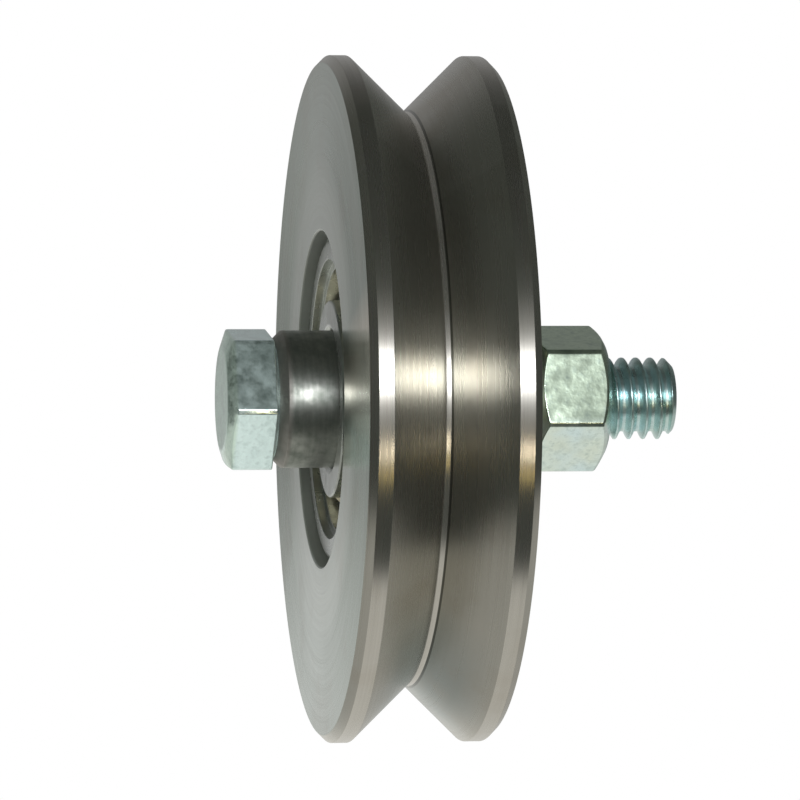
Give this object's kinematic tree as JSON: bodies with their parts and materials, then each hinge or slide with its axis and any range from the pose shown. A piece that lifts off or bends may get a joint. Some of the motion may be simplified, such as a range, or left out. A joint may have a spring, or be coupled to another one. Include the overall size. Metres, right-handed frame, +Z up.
{
  "type": "v groove wheel",
  "caption": "Turned steel track wheel with a V groove, running on an open ball bearing, with a spacer bush, a hexagon bolt as its axle and a nut.",
  "frame": {"origin": "centre of the wheel: on its axis, midway between its two side faces, in the plane of the bottom of the V groove", "axes": "+Y along the wheel's axis, from the bolt head to the nut; +Z up as the wheel stands on its rail"},
  "size_m": [0.1, 0.0665, 0.1],
  "materials": {
    "turned_steel": "bright turned mild steel with fine circular tool marks",
    "bearing_steel": "ground bearing steel with a thin film of oil",
    "ball_steel": "polished bearing steel",
    "cage_steel": "pressed steel strip with a straw coloured film of grease",
    "rivet_steel": "plain steel rivets, greasy",
    "bush_steel": "dark drawn steel tube, slightly mottled",
    "zinc_plated_steel": "bright zinc plate with a blue-green passivation"
  },
  "bodies": {
    "axle": {"hex_bolt": "zinc_plated_steel", "hex_nut": "zinc_plated_steel", "spacer_bush": "bush_steel", "inner_ring": "bearing_steel"},
    "wheel": {"wheel": "turned_steel", "outer_ring": "bearing_steel"},
    "cage": {"cage_front": "cage_steel", "cage_back": "cage_steel", "cage_rivets": "rivet_steel"},
    "ball_1": {"ball_1": "ball_steel"},
    "ball_2": {"ball_2": "ball_steel"},
    "ball_3": {"ball_3": "ball_steel"},
    "ball_4": {"ball_4": "ball_steel"},
    "ball_5": {"ball_5": "ball_steel"},
    "ball_6": {"ball_6": "ball_steel"},
    "ball_7": {"ball_7": "ball_steel"},
    "ball_8": {"ball_8": "ball_steel"}
  },
  "joints": [
    {"name": "wheel_spin", "type": "hinge", "parent": "axle", "child": "wheel", "pos_m": [0, 0, 0], "axis": [0, 1, 0], "continuous": true},
    {"name": "cage_spin", "type": "hinge", "parent": "axle", "child": "cage", "pos_m": [0, -0.0037, 0], "axis": [0, 1, 0], "continuous": true},
    {"name": "ball_1_spin", "type": "hinge", "parent": "cage", "child": "ball_1", "pos_m": [0.01675, -0.0037, 0], "axis": [0, 1, 0], "continuous": true},
    {"name": "ball_2_spin", "type": "hinge", "parent": "cage", "child": "ball_2", "pos_m": [0.01184, -0.0037, -0.01184], "axis": [0, 1, 0], "continuous": true},
    {"name": "ball_3_spin", "type": "hinge", "parent": "cage", "child": "ball_3", "pos_m": [0, -0.0037, -0.01675], "axis": [0, 1, 0], "continuous": true},
    {"name": "ball_4_spin", "type": "hinge", "parent": "cage", "child": "ball_4", "pos_m": [-0.01184, -0.0037, -0.01184], "axis": [0, 1, 0], "continuous": true},
    {"name": "ball_5_spin", "type": "hinge", "parent": "cage", "child": "ball_5", "pos_m": [-0.01675, -0.0037, 0], "axis": [0, 1, 0], "continuous": true},
    {"name": "ball_6_spin", "type": "hinge", "parent": "cage", "child": "ball_6", "pos_m": [-0.01184, -0.0037, 0.01184], "axis": [0, 1, 0], "continuous": true},
    {"name": "ball_7_spin", "type": "hinge", "parent": "cage", "child": "ball_7", "pos_m": [0, -0.0037, 0.01675], "axis": [0, 1, 0], "continuous": true},
    {"name": "ball_8_spin", "type": "hinge", "parent": "cage", "child": "ball_8", "pos_m": [0.01184, -0.0037, 0.01184], "axis": [0, 1, 0], "continuous": true}
  ],
  "couplings": [
    {"joint": "cage_spin", "follows": "wheel_spin", "ratio": 0.61848},
    {"joint": "ball_1_spin", "follows": "wheel_spin", "ratio": 1.9916},
    {"joint": "ball_2_spin", "follows": "wheel_spin", "ratio": 1.9916},
    {"joint": "ball_3_spin", "follows": "wheel_spin", "ratio": 1.9916},
    {"joint": "ball_4_spin", "follows": "wheel_spin", "ratio": 1.9916},
    {"joint": "ball_5_spin", "follows": "wheel_spin", "ratio": 1.9916},
    {"joint": "ball_6_spin", "follows": "wheel_spin", "ratio": 1.9916},
    {"joint": "ball_7_spin", "follows": "wheel_spin", "ratio": 1.9916},
    {"joint": "ball_8_spin", "follows": "wheel_spin", "ratio": 1.9916}
  ]
}
